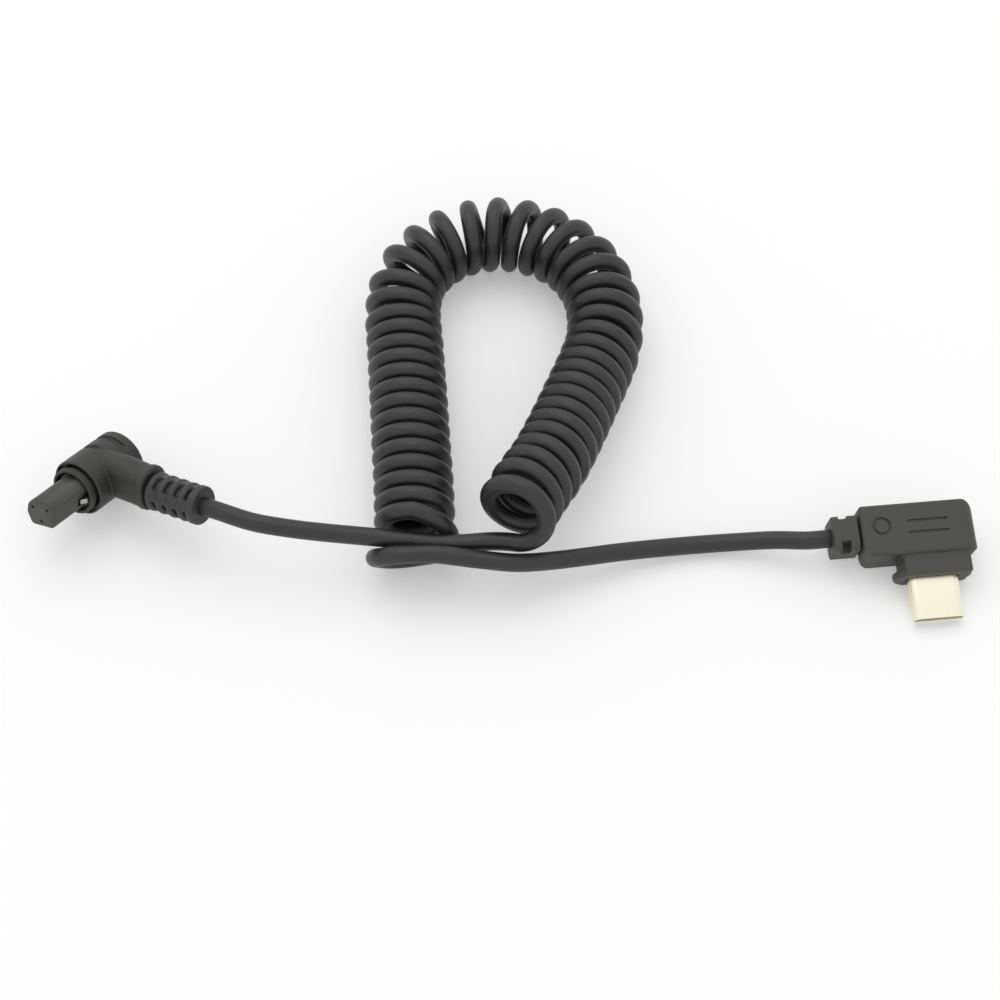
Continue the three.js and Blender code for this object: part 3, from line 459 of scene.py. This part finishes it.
def tube(name, line, radius, sides):
    """A round skin along a line, without twist; jacket says where each point is on it, in mm."""
    ahead = np.gradient(line, axis=0)
    ahead /= np.linalg.norm(ahead, axis=1)[:, None]
    out = np.cross(ahead[0], (0, 0, 1.0))
    loops = []
    for place, along in zip(line, ahead):
        out = out - along * out.dot(along)
        out /= np.linalg.norm(out)
        across = np.cross(along, out)
        turns = [2 * math.pi * k / sides for k in range(sides)]
        loops.append([place + radius * (math.cos(t) * out + math.sin(t) * across) for t in turns])
    skin = loft(name, loops)
    run = np.concatenate([[0], np.cumsum(np.linalg.norm(np.diff(line, axis=0), axis=1))])
    jacket = skin.data.attributes.new("jacket", "FLOAT_VECTOR", "POINT")
    jacket.data.foreach_set("vector", [v for at in run for t in turns
                                       for v in (radius * math.cos(t), radius * math.sin(t), at)])
    return skin


def exit_line(plug, place, y=0):
    """Three points on a plug's cable line, about the cord's exit from it."""
    points = [(place + step, y, 0) for step in (-EXIT_RUN, 0, EXIT_RUN)]
    return [tuple((plug @ Vector(p)) / MM) for p in points]


exits = exit_line(CAMERA_PLUG, CAMERA_EXIT)
ends = exit_line(PHONE_PLUG, PHONE_EXIT, CABLE_LINE)
cord_line = spline(exits + CAMERA_LEAD + coil_points() + LAST_TURN + PHONE_LEAD + ends, 1.0)
cord = tube("release_cord", cord_line, CORD_RADIUS, 20)
finish_piece(cord, OBJECT, CORD_VINYL,
             ["lead_to_camera_plug", "coiled_cord", "lead_to_phone_plug"])


# ------------------------------------------------------------------ camera plug
BARREL_RADIUS, BARREL_FRONT, BARREL_REAR = 4.85, 5.5, 5.8
HOLLOW_RADIUS, HOLLOW_BACK = 4.05, 5
MOUTH_RADIUS, MOUTH_FRONT, MOUTH_BACK = 4.55, -7, -4.7
GRIP_GROOVES, GROOVE_FADE, GROOVE_DEPTH = (0.05, 3.35), (44, 57), 0.5
NECK_END, NECK_UNDERSIDE, NECK_BORE = 11.5, -3.2, 2.2
# X, half the width, height over the cable's line and corner radius, from barrel to lip
NECK_PLACES = [(0, 2.7, 4.6, 2.6), (6, 2.75, 4.5, 2.6), (10.1, 2.9, 3.85, 2.4),
               (10.4, 3.35, 3.9, 2.6), (11.2, 3.4, 3.9, 2.8), (NECK_END, 3.15, 3.55, 2.7)]
LIP_FRONT = -6.9
NOSE_FACE, NOSE_BASE_FRONT, NOSE_BASE_BACK = -14.5, -6.1, -3.2
NOSE_BASE_RADIUS = 3.05
NOSE_OUTLINE = [(-0.9, 2.9), (1.9, 2.8), (2.95, 1.5), (2.3, -2), (-2.3, -2.3), (-3, 0),
                (-2.4, 1.7)]
CONTACTS = [(-1.45, 1.2), (1.6, 1.3), (-0.1, -1.25)]
RETAINER_BACK = -1.9
LATCH_FACE, LATCH_RISE, LATCH_TIP, LATCH_HALF, LATCH_THICK = 2.85, -0.4, -8.1, 0.42, 0.3
POCKET_TIP, POCKET_HALF = -8.5, 0.7
RELIEF_START, RELIEF_END = 11.8, 21.65
RELIEF_RADIUS, RELIEF_PITCH, RELIEF_RING = 3.25, 2.15, 1.35
RIBS, CORE_RADIUS = 4, 1.95
SPINE_TURNS, SPINE_REACH, SPINE_HALF = (-20, 70), 2.95, 0.95
CORD_BORE = 1.55


def grip_groove(place):
    """A cutter for a groove round the barrel, which fades out at the cable's side."""
    section = [(2, -0.8), (0.1, -0.48), (0, -0.34), (0, 0.34), (0.1, 0.48), (2, 0.8)]
    loops = []
    for t in np.linspace(-math.pi, math.pi, 97)[:-1]:
        floor_radius = BARREL_RADIUS - np.interp(abs(math.degrees(t)), GROOVE_FADE,
                                                 (-0.1, GROOVE_DEPTH))
        loops.append([((floor_radius + out) * math.cos(t), place + y,
                       (floor_radius + out) * math.sin(t)) for out, y in section])
    return loft("groove", loops, closed=True)


def neck():
    """The cable's neck, tapered, with a thicker round lip at its end."""
    return loft("neck", [along_x(rectangle(-wide, wide, NECK_UNDERSIDE, high, corner), x)
                         for x, wide, high, corner in NECK_PLACES])


def camera_plug_housing():
    """The barrel with its grip grooves, the neck, and the hollow that holds nose and wires."""
    rear = rounded_end(BARREL_RADIUS, 0.65, BARREL_REAR, 1, 7)
    front = rounded_end(BARREL_RADIUS, 0.25, -BARREL_FRONT, -1)[::-1]
    housing = turned("camera_plug_housing", [(0, -BARREL_FRONT)] + front + rear
                     + [(0, BARREL_REAR)], 96)
    carve(housing, [grip_groove(place) for place in GRIP_GROOVES])
    carve(housing, [neck()], "UNION")
    moulded(housing, 0.1, 2)
    carve(housing, [
        turned("hollow", [(0, MOUTH_FRONT), (MOUTH_RADIUS, MOUTH_FRONT),
                          (MOUTH_RADIUS, MOUTH_BACK), (HOLLOW_RADIUS, MOUTH_BACK),
                          (HOLLOW_RADIUS, HOLLOW_BACK), (0, HOLLOW_BACK)]),
        turned("bore", [(0, 0), (NECK_BORE, 0), (NECK_BORE, NECK_END + 1), (0, NECK_END + 1)],
               axis="X")])
    finish_piece(housing, CAMERA_PLUG, CAMERA_VINYL, ["remote_housing"],
                 sharp=50)


def front_collar():
    """The lip round the nose, with the sleeve that holds it inside the barrel."""
    inner, crown, seam = 3.45, 0.3, -5.8
    sleeve_inner, sleeve_outer, back = 3.3, 3.8, -2.9
    lip = [(inner + crown + crown * math.cos(t), LIP_FRONT + crown - crown * math.sin(t))
           for t in np.linspace(math.pi, 0, 13)]
    collar = turned("front_collar", [(inner, seam)] + lip + [
        (inner + 2 * crown, seam), (sleeve_outer, seam), (sleeve_outer, back),
        (sleeve_inner, back), (sleeve_inner, seam)], 96, closed=True)
    finish_piece(collar, CAMERA_PLUG, CAMERA_VINYL,
                 ["remote_front_collar"], sharp=40)


def nose():
    """The keyed nose: rounded facets, three contact holes and a pocket for each latch."""
    keyed = prism("camera_plug_nose", rounded(NOSE_OUTLINE, 0.6, 7), along_y, NOSE_FACE,
                  NOSE_BASE_FRONT + 0.15, (0.3, 0))
    base = turned("base", [(0, NOSE_BASE_FRONT), (NOSE_BASE_RADIUS, NOSE_BASE_FRONT),
                           (NOSE_BASE_RADIUS, NOSE_BASE_BACK), (0, NOSE_BASE_BACK)])
    carve(keyed, [base], "UNION")
    mouth, throat, room, back = 0.34, 0.28, 0.57, NOSE_BASE_BACK + 1
    hole = [(0, NOSE_FACE - 1), (mouth, NOSE_FACE - 1), (mouth, NOSE_FACE),
            (throat, NOSE_FACE + 0.08), (throat, NOSE_FACE + 0.38), (room, NOSE_FACE + 0.38),
            (room, back), (0, back)]
    holes = [shift(turned("hole", hole, 32), (x, 0, z)) for x, z in CONTACTS]
    for side in (-1, 1):
        near, far = sorted((side * 2, side * BARREL_RADIUS))
        holes.append(box("pocket", (near, POCKET_TIP, LATCH_RISE - POCKET_HALF),
                         (far, back, LATCH_RISE + POCKET_HALF)))
    carve(keyed, holes)
    finish_piece(keyed, CAMERA_PLUG, NOSE_PLASTIC, ["remote_nose"], sharp=35)


def camera_plug_contact(index):
    """A turned socket contact with a rounded mouth, from the nose's face to the retainer."""
    x, z = CONTACTS[index]
    mouth, outer, inner = NOSE_FACE + 0.5, 0.45, 0.25
    contact = turned(f"camera_plug_contact_{index + 1}", [
        (0, mouth + 3.5), (inner, mouth + 3.4), (inner, mouth + 0.15), (inner + 0.07, mouth),
        (outer - 0.07, mouth), (outer, mouth + 0.1), (outer, RETAINER_BACK + 0.5),
        (outer - 0.1, RETAINER_BACK + 0.6), (0, RETAINER_BACK + 0.6)], 32)
    shift(contact, (x, 0, z))
    finish_piece(contact, CAMERA_PLUG, GOLD, [f"remote_contact_{index + 1}"],
                 sharp=30)


def camera_plug_latch(name, side):
    """A stamped leaf; its barb is bent out near the tip."""
    inner, outer, tip, barb = LATCH_FACE - LATCH_THICK, LATCH_FACE, LATCH_TIP, 0.55
    corners = [(inner, tip), (inner, RETAINER_BACK), (outer, RETAINER_BACK), (outer, tip + 2),
               (outer + barb, tip + 1.2), (outer + barb, tip + 0.8), (outer, tip)]
    outline = rounded([(side * x, y) for x, y in corners], 0.2, 4)
    leaf = prism(name, outline, along_z, LATCH_RISE - LATCH_HALF, LATCH_RISE + LATCH_HALF,
                 (0.12, 0.12))
    finish_piece(leaf, CAMERA_PLUG, SPRING, ["remote_" + name],
                 body="remote_" + name, sharp=30)


def ribs_tree():
    """Ribs in a row along X: round rings on the points of a line."""
    tree = bpy.data.node_groups.new("ribs", "GeometryNodeTree")
    face = tree.interface
    sizes = {}
    for title, kind, value in (("Count", "Int", 5), ("Pitch", "Float", 2.15),
                               ("Radius", "Float", 3.25), ("Width", "Float", 1.35)):
        made = face.new_socket(title, in_out="INPUT", socket_type="NodeSocket" + kind)
        made.default_value = value
        sizes[title] = made.identifier
    face.new_socket("Geometry", in_out="OUTPUT", socket_type="NodeSocketGeometry")
    given = tree.nodes.new("NodeGroupInput").outputs
    step = node(tree, "ShaderNodeCombineXYZ", X=given["Pitch"])
    line = node(tree, "GeometryNodeMeshLine", Count=given["Count"], Offset=step.outputs[0])
    thick = node(tree, "ShaderNodeMath", {"operation": "MULTIPLY"}, i0=given["Width"], i1=0.5)
    bend = node(tree, "ShaderNodeMath", {"operation": "SUBTRACT"}, i0=given["Radius"],
                i1=thick.outputs[0])
    path = node(tree, "GeometryNodeCurvePrimitiveCircle", Resolution=72, Radius=bend.outputs[0])
    section = node(tree, "GeometryNodeCurvePrimitiveCircle", Resolution=20,
                   Radius=thick.outputs[0])
    ring = node(tree, "GeometryNodeCurveToMesh", Curve=path.outputs[0],
                Profile_Curve=section.outputs[0])
    row = node(tree, "GeometryNodeInstanceOnPoints", Points=line.outputs[0],
               Instance=ring.outputs[0], Rotation=(0, math.radians(90), 0))
    real = node(tree, "GeometryNodeRealizeInstances", Geometry=row.outputs[0])
    finished = node(tree, "GeometryNodeSetMaterial", Geometry=real.outputs[0],
                    Material=RELIEF_VINYL)
    node(tree, "NodeGroupOutput", Geometry=finished.outputs[0])
    return tree, sizes


def ribs(tree, sizes, start, **values):
    """The row as a plain mesh, its first rib starting at start along X."""
    row = mesh_object("ribs", [(0, 0, 0)], [])
    step = row.modifiers.new("ribs", "NODES")
    step.node_group = tree
    for title, value in values.items():
        step[sizes[title]] = value
    return shift(settle(row), (start + values["Width"] / 2, 0, 0))


def strain_relief():
    """A soft relief: rings joined by four spines, so that dark slots stand between them."""
    root, last = NECK_END - 2.6, RELIEF_START + RIBS * RELIEF_PITCH
    relief = turned("camera_plug_relief", [
        (0, root), (CORE_RADIUS, root), (CORE_RADIUS, RELIEF_START), (2.3, RELIEF_START),
        (2.2, RELIEF_END), (0, RELIEF_END)], axis="X")
    tree, sizes = ribs_tree()
    row = ribs(tree, sizes, RELIEF_START, Count=RIBS, Pitch=RELIEF_PITCH,
               Radius=RELIEF_RADIUS, Width=RELIEF_RING)
    cap = turned("cap", [(0, last), (RELIEF_RADIUS, last)]
                 + rounded_end(RELIEF_RADIUS, 0.45, RELIEF_END, 1) + [(0, RELIEF_END)], axis="X")
    spines = []
    for turn in SPINE_TURNS:
        spine = box("spine", (RELIEF_START, -SPINE_REACH, -SPINE_HALF),
                    (last + 0.4, SPINE_REACH, SPINE_HALF))
        spine.data.transform(Matrix.Rotation(math.radians(turn), 4, "X"))
        spines.append(spine)
    carve(relief, [row, cap] + spines, "UNION")
    moulded(relief, 0.09, 5)
    carve(relief, [turned("bore", [(0, last), (CORD_BORE, last), (CORD_BORE, RELIEF_END + 1),
                                   (0, RELIEF_END + 1)], axis="X")])
    finish_piece(relief, CAMERA_PLUG, RELIEF_VINYL,
                 ["remote_strain_relief"], sharp=50)


camera_plug_housing()
front_collar()
nose()
for index in range(len(CONTACTS)):
    camera_plug_contact(index)
camera_plug_latch("latch_cable_side", 1)
camera_plug_latch("latch_far_side", -1)
strain_relief()

# ------------------------------------------------------------------ phone plug
SHELL_WIDTH, SHELL_HEIGHT, SHELL_WALL = 8.25, 2.4, 0.2
SHELL_EXPOSED, SHELL_END = 6.9, 10.5
FLANGE_WIDTH, FLANGE_HEIGHT, FLANGE_BACK = 12.8, 6.3, 8.1
WAIST_LEFT, WAIST_RIGHT = -4.9, 6.1
BODY_LEFT, BODY_RIGHT, BODY_FRONT, BODY_BACK = -11.1, 7.6, 10.3, 18.9
BODY_HALF = 3.75
CHAMBER_FRONT, CHAMBER_BACK, CHAMBER_HALF, CHAMBER_WALL = 11.6, 17.6, 2.45, 1.3
BLOCK_START, BLOCK_END = -11.4, -15.6
SLOT_MIDDLE, SLOT_HALF, SLOT_FLOOR = -13.65, 0.78, 0.7
SPIGOT_RADIUS, SPIGOT_END = 1.8, BODY_LEFT + 1.42


def face_marks():
    """Shallow marks in the body's top: a plain ring and two straight finger grooves."""
    low, high, depth, half = BODY_HALF - 0.3, BODY_HALF + 1, 0.28, 0.24
    ring = turned("ring", [(1.08, low), (1.54, low), (1.54, high), (1.08, high)], closed=True)
    ring.data.transform(Matrix.Rotation(math.radians(90), 4, "X"))
    marks = [shift(ring, (-7.8, 15.2, 0))]
    for y in (15.75, 13.8):
        outline = rectangle(-3.6, 3.0, y - half, y + half, 0.2, 4)
        marks.append(prism("groove", outline, along_z, BODY_HALF - depth, high))
    return marks


def phone_plug_body():
    """A rounded block whose far side is rounder, a waist, and a flange round the shell."""
    plan = rectangle(BODY_LEFT, BODY_RIGHT, BODY_FRONT, BODY_BACK, (1.7, 0.9, 2.4, 0.6), 8)
    body = prism("phone_plug_body", plan, along_z, -BODY_HALF, BODY_HALF)
    side = rectangle(BODY_LEFT, BODY_RIGHT, -BODY_HALF, BODY_HALF, (2.4, 2.2, 2.2, 0.5), 8)
    depth = rectangle(BODY_FRONT, BODY_BACK, -BODY_HALF, BODY_HALF, 0.55, 8)
    carve(body, [prism("side", side, along_y, BODY_FRONT - 1, BODY_BACK + 1),
                 prism("depth", depth, along_x, BODY_LEFT - 1, BODY_RIGHT + 1)], "INTERSECT")
    half = FLANGE_HEIGHT / 2
    waist = prism("waist", rectangle(WAIST_LEFT, WAIST_RIGHT, -half, half, 0.5), along_y,
                  SHELL_EXPOSED, CHAMBER_FRONT - 0.65, (0.25, 0))
    flange = prism("flange", stadium(FLANGE_WIDTH, FLANGE_HEIGHT, 24), along_y, SHELL_EXPOSED,
                   FLANGE_BACK, (0.3, 0.25))
    carve(body, [waist, flange], "UNION")
    moulded(body, 0.12, 3)
    chamber = box("chamber", (BODY_LEFT + CHAMBER_WALL, CHAMBER_FRONT, -CHAMBER_HALF),
                  (BODY_RIGHT - CHAMBER_WALL, CHAMBER_BACK, CHAMBER_HALF))
    socket = prism("socket", stadium(SHELL_WIDTH + 0.5, SHELL_HEIGHT + 0.5, 16), along_y,
                   SHELL_EXPOSED - 1, CHAMBER_FRONT + 1)
    entry, inside = 2.05, BODY_LEFT + 2.3
    cable = turned("cable", [(0, BODY_LEFT - 1), (entry, BODY_LEFT - 1), (entry, inside),
                             (0, inside)], axis="X")
    carve(body, [socket, chamber, shift(cable, (0, CABLE_LINE, 0))] + face_marks())
    finish_piece(body, PHONE_PLUG, PHONE_VINYL, ["phone_body"], sharp=50)


def phone_plug_relief():
    """The cable's block, whose two upper edges are each cut by one square slot."""
    block = prism("phone_plug_relief", rectangle(-2.95, 2.95, -3.1, 3.1, 1.0, 8), along_x,
                  BLOCK_END, BLOCK_START, (0.25, 0.1))
    root = BLOCK_START - 1
    spigot = turned("spigot", [(0, root), (SPIGOT_RADIUS, root), (SPIGOT_RADIUS, SPIGOT_END),
                               (0, SPIGOT_END)], axis="X")
    carve(block, [spigot], "UNION")
    moulded(block, 0.09, 2)
    slots = []
    for near, far in ((-5, -1.4), (2.1, 5)):
        slots.append(box("slot", (SLOT_MIDDLE - SLOT_HALF, near, SLOT_FLOOR),
                         (SLOT_MIDDLE + SLOT_HALF, far, 5)))
    mouth, floor = BLOCK_END - 1, BLOCK_END + 3.1
    bore = turned("bore", [(0, mouth), (CORD_BORE, mouth), (CORD_BORE, floor), (0, floor)],
                  axis="X")
    carve(block, slots + [bore])
    shift(block, (0, CABLE_LINE, 0))
    finish_piece(block, PHONE_PLUG, PHONE_VINYL, ["phone_strain_relief"],
                 sharp=50)


def phone_plug_shell():
    """A drawn tube with a rolled mouth."""
    half = SHELL_WALL / 2
    mouth = [(half + half * math.cos(t), half - half * math.sin(t))
             for t in np.linspace(0, math.pi, 9)]
    places = [(SHELL_WALL, SHELL_END)] + mouth + [(0, SHELL_END)]
    outline = stadium(SHELL_WIDTH, SHELL_HEIGHT, 20)
    shell = loft("phone_plug_shell", [along_y(inset(outline, by), y) for by, y in places],
                 closed=True)
    finish_piece(shell, PHONE_PLUG, NICKEL, ["phone_shell"], sharp=40)


phone_plug_body()
phone_plug_relief()
phone_plug_shell()


# ------------------------------------------------------------------ floor and light
FLOOR_HALF = 3  # metres: wide enough to fill every view
AROUND = 0.8  # the soft light from all round
# Name, place and size in metres, power in watts: a wide key from behind, a weak fill in front.
LAMPS = [("key", (-0.13, 0.34, 0.88), 0.9, 2.05), ("fill", (0.3, -0.3, 0.6), 0.6, 0.04)]


def background_rays(tree):
    """1 for the rays that see the pale background: the camera's, glossy and transmitted ones."""
    rays = node(tree, "ShaderNodeLightPath").outputs
    seen = node(tree, "ShaderNodeMath", {"operation": "MAXIMUM"}, i0=rays["Is Camera Ray"],
                i1=rays["Is Glossy Ray"])
    return node(tree, "ShaderNodeMath", {"operation": "MAXIMUM"}, i0=seen.outputs[0],
                i1=rays["Is Transmission Ray"]).outputs[0]


def stage_floor():
    """A plain pale floor; a little glow lifts it to the photograph's white and keeps the shadow."""
    corners = [(x * FLOOR_HALF, y * FLOOR_HALF, 0) for x, y in ((-1, -1), (1, -1), (1, 1), (-1, 1))]
    floor = mesh_object("floor", corners, [(0, 1, 2, 3)])
    material = bpy.data.materials.new("pale floor")
    material.use_nodes = True
    tree = material.node_tree
    tree.nodes.clear()
    diffuse = node(tree, "ShaderNodeBsdfDiffuse", Color=linear("#dfe0de"))
    glow = node(tree, "ShaderNodeEmission", Color=linear("#fefefd"), Strength=0.29)
    both = node(tree, "ShaderNodeAddShader", i0=diffuse.outputs[0], i1=glow.outputs[0])
    mixed = node(tree, "ShaderNodeMixShader", i0=background_rays(tree), i1=diffuse.outputs[0],
                 i2=both.outputs[0])
    node(tree, "ShaderNodeOutputMaterial", Surface=mixed.outputs[0])
    floor.data.materials.append(material)


def studio_light():
    """Even light from all round with two lamps, both aimed at the object's middle."""
    world = bpy.data.worlds.new("studio")
    scene.world = world
    world.use_nodes = True
    tree = world.node_tree
    tree.nodes.clear()
    soft = node(tree, "ShaderNodeBackground", Color=(1, 1, 1, 1), Strength=AROUND)
    white = node(tree, "ShaderNodeBackground", Color=(1, 1, 1, 1), Strength=1.0)
    mixed = node(tree, "ShaderNodeMixShader", i0=background_rays(tree), i1=soft.outputs[0],
                 i2=white.outputs[0])
    node(tree, "ShaderNodeOutputWorld", Surface=mixed.outputs[0])
    for name, place, size, power in LAMPS:
        lamp = bpy.data.lights.new(name, "AREA")
        lamp.size, lamp.energy = size, power
        held = bpy.data.objects.new(name, lamp)
        held.location = place
        held.rotation_euler = (-Vector(place)).to_track_quat("-Z", "Y").to_euler()
        scene.collection.objects.link(held)


stage_floor()
studio_light()

# ------------------------------------------------------------------ CAD nodes that stay
CARRIED = [
    ("remote_contact_retainer", INNER_PLASTIC), ("remote_ferrule", SPRING),
    ("phone_contact_carrier", INNER_PLASTIC), ("phone_circuit_board", BOARD),
    ("phone_resistor", RESISTOR), ("phone_ferrule", SPRING),
    ("phone_latch_far_side", SPRING), ("phone_latch_cable_side", SPRING),
]
CARRIED += [(f"{plug}_wire_{i + 1}", WIRES[i]) for plug in ("remote", "phone") for i in range(3)]
CARRIED += [(f"phone_contact_{i}", GOLD) for i in range(1, 9)]
for name, material in CARRIED:
    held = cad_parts[name].data
    held.materials.clear()
    held.materials.append(material)
